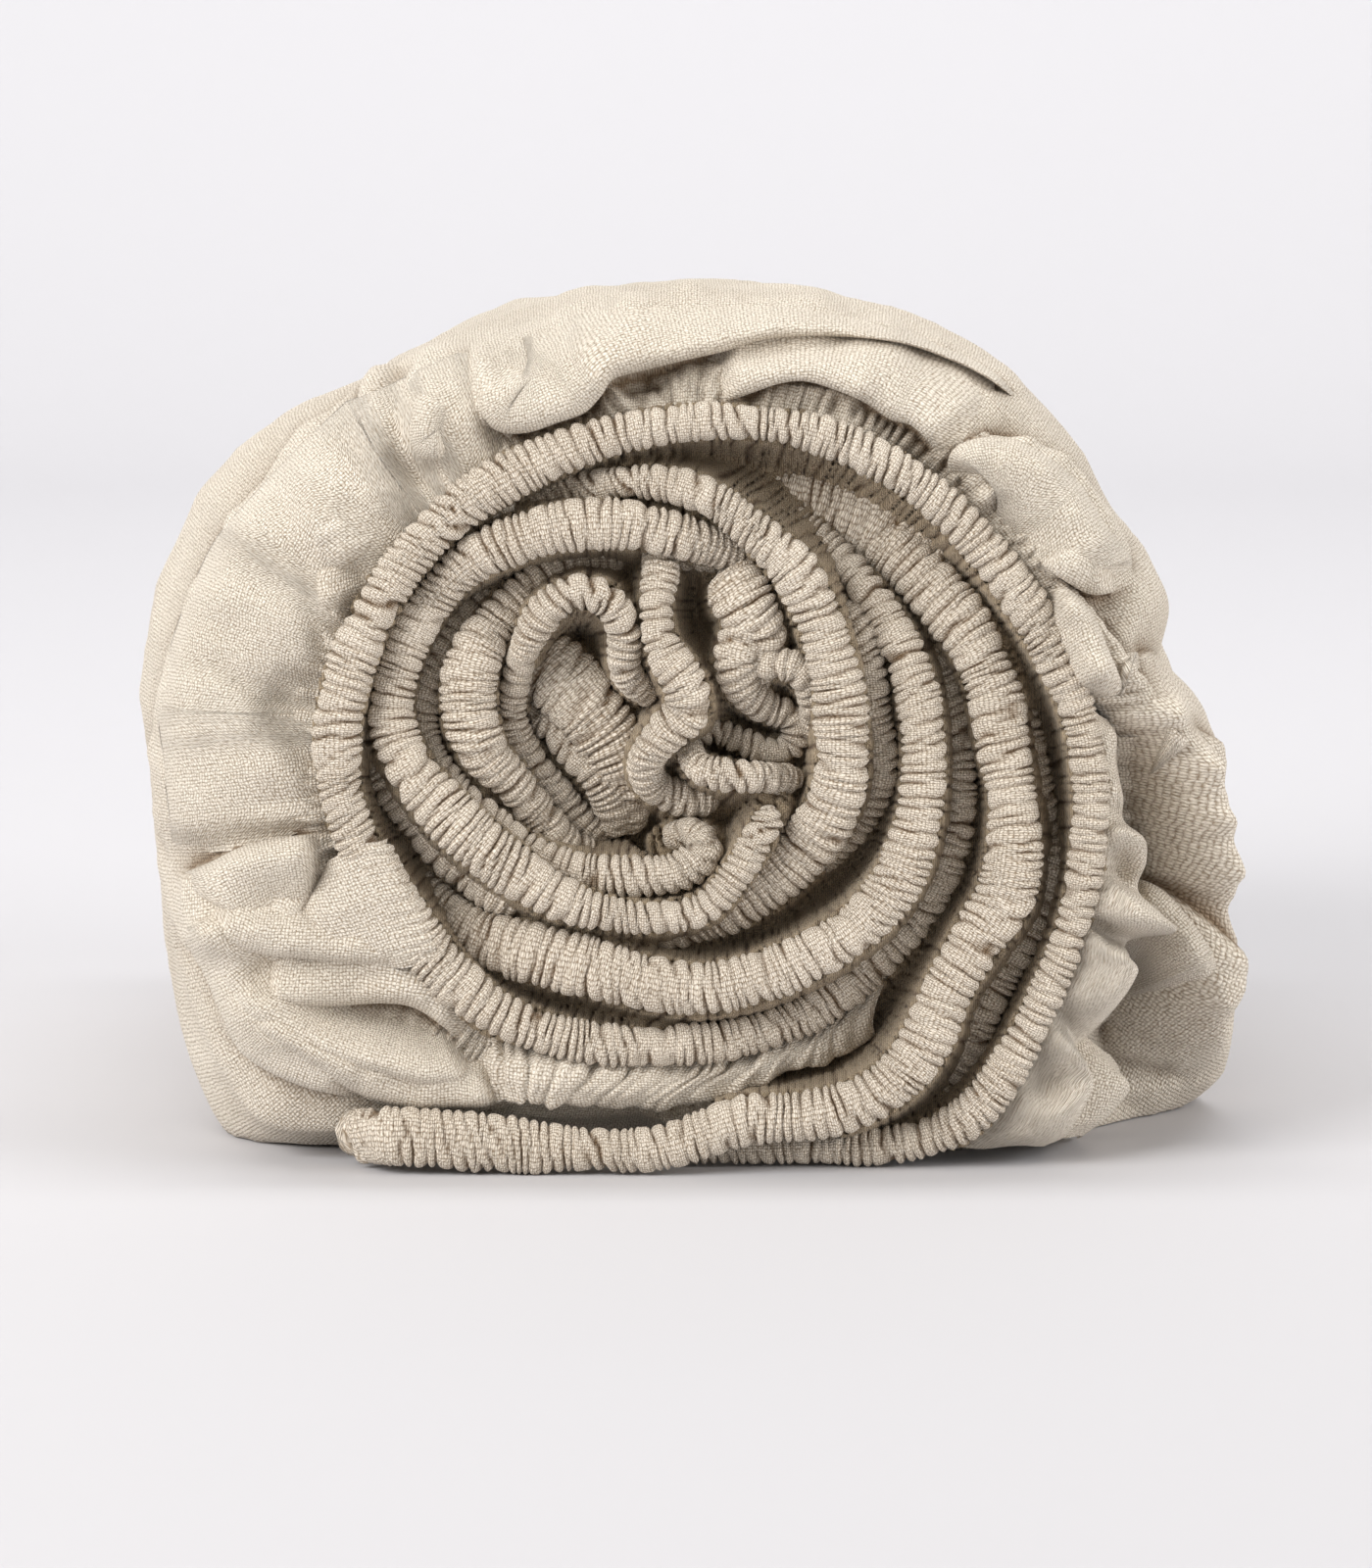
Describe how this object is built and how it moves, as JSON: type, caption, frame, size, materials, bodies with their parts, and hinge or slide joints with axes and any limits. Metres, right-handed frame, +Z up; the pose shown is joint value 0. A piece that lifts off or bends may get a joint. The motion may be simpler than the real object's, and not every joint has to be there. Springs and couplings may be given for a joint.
{
  "type": "rolled fitted sheet",
  "caption": "Crumpled linen fitted sheet rolled up loosely and lying on its side, its gathered elastic hem winding in a spiral on one end.",
  "frame": {"origin": "on the surface it rests on, under the middle of its bounding box", "axes": "+Z up, Y along the roll, with the end that shows the spiral facing -Y"},
  "size_m": [0.2703, 0.2984, 0.2129],
  "materials": {
    "cloth": "matt washed linen, plain weave, undyed oatmeal",
    "casing": "the same linen, drawn into fine gathers over elastic"
  },
  "bodies": {
    "root": {"rolled_cloth": "cloth", "casing_outer_turn": "casing", "casing_lead_turn": "casing", "casing_third_turn": "casing", "casing_fourth_turn": "casing", "casing_fifth_turn": "casing", "casing_sixth_turn": "casing", "casing_seventh_turn": "casing", "casing_inner_loop": "casing", "casing_middle_drop": "casing", "casing_centre_fold": "casing", "casing_core_fold": "casing"}
  },
  "joints": []
}
